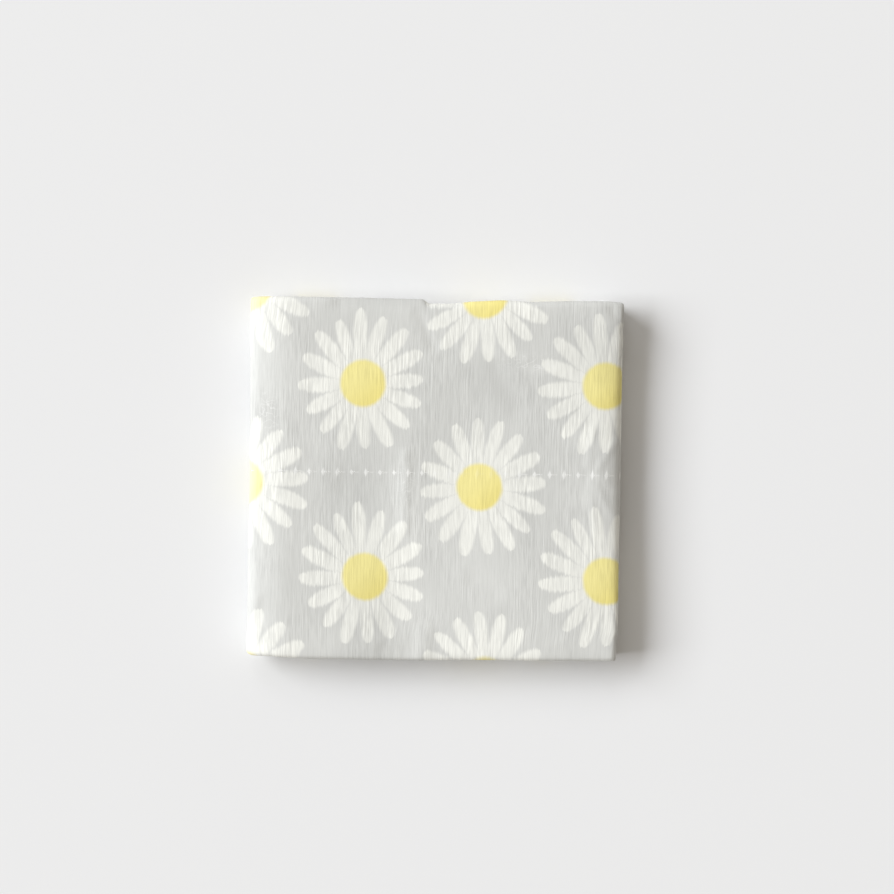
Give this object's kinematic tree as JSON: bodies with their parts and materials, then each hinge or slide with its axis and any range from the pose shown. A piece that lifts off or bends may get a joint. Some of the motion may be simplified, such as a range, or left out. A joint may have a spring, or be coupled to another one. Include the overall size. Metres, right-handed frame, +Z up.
{
  "type": "face cloth",
  "caption": "Thin cotton gauze face cloth folded both ways into a flat square pack, with a stitched seam across its middle and a daisy print.",
  "frame": {"origin": "on the surface that the pack rests on, below the middle of its footprint", "axes": "+X from the left fold to the right fold, +Y to the back edge, +Z up through the layers"},
  "size_m": [0.1014, 0.0982, 0.0119],
  "materials": {
    "printed_gauze": "matte ribbed cotton gauze in pale grey, printed with white daisies that have yellow middles"
  },
  "bodies": {
    "root": {"cloth": "printed_gauze"}
  },
  "joints": []
}
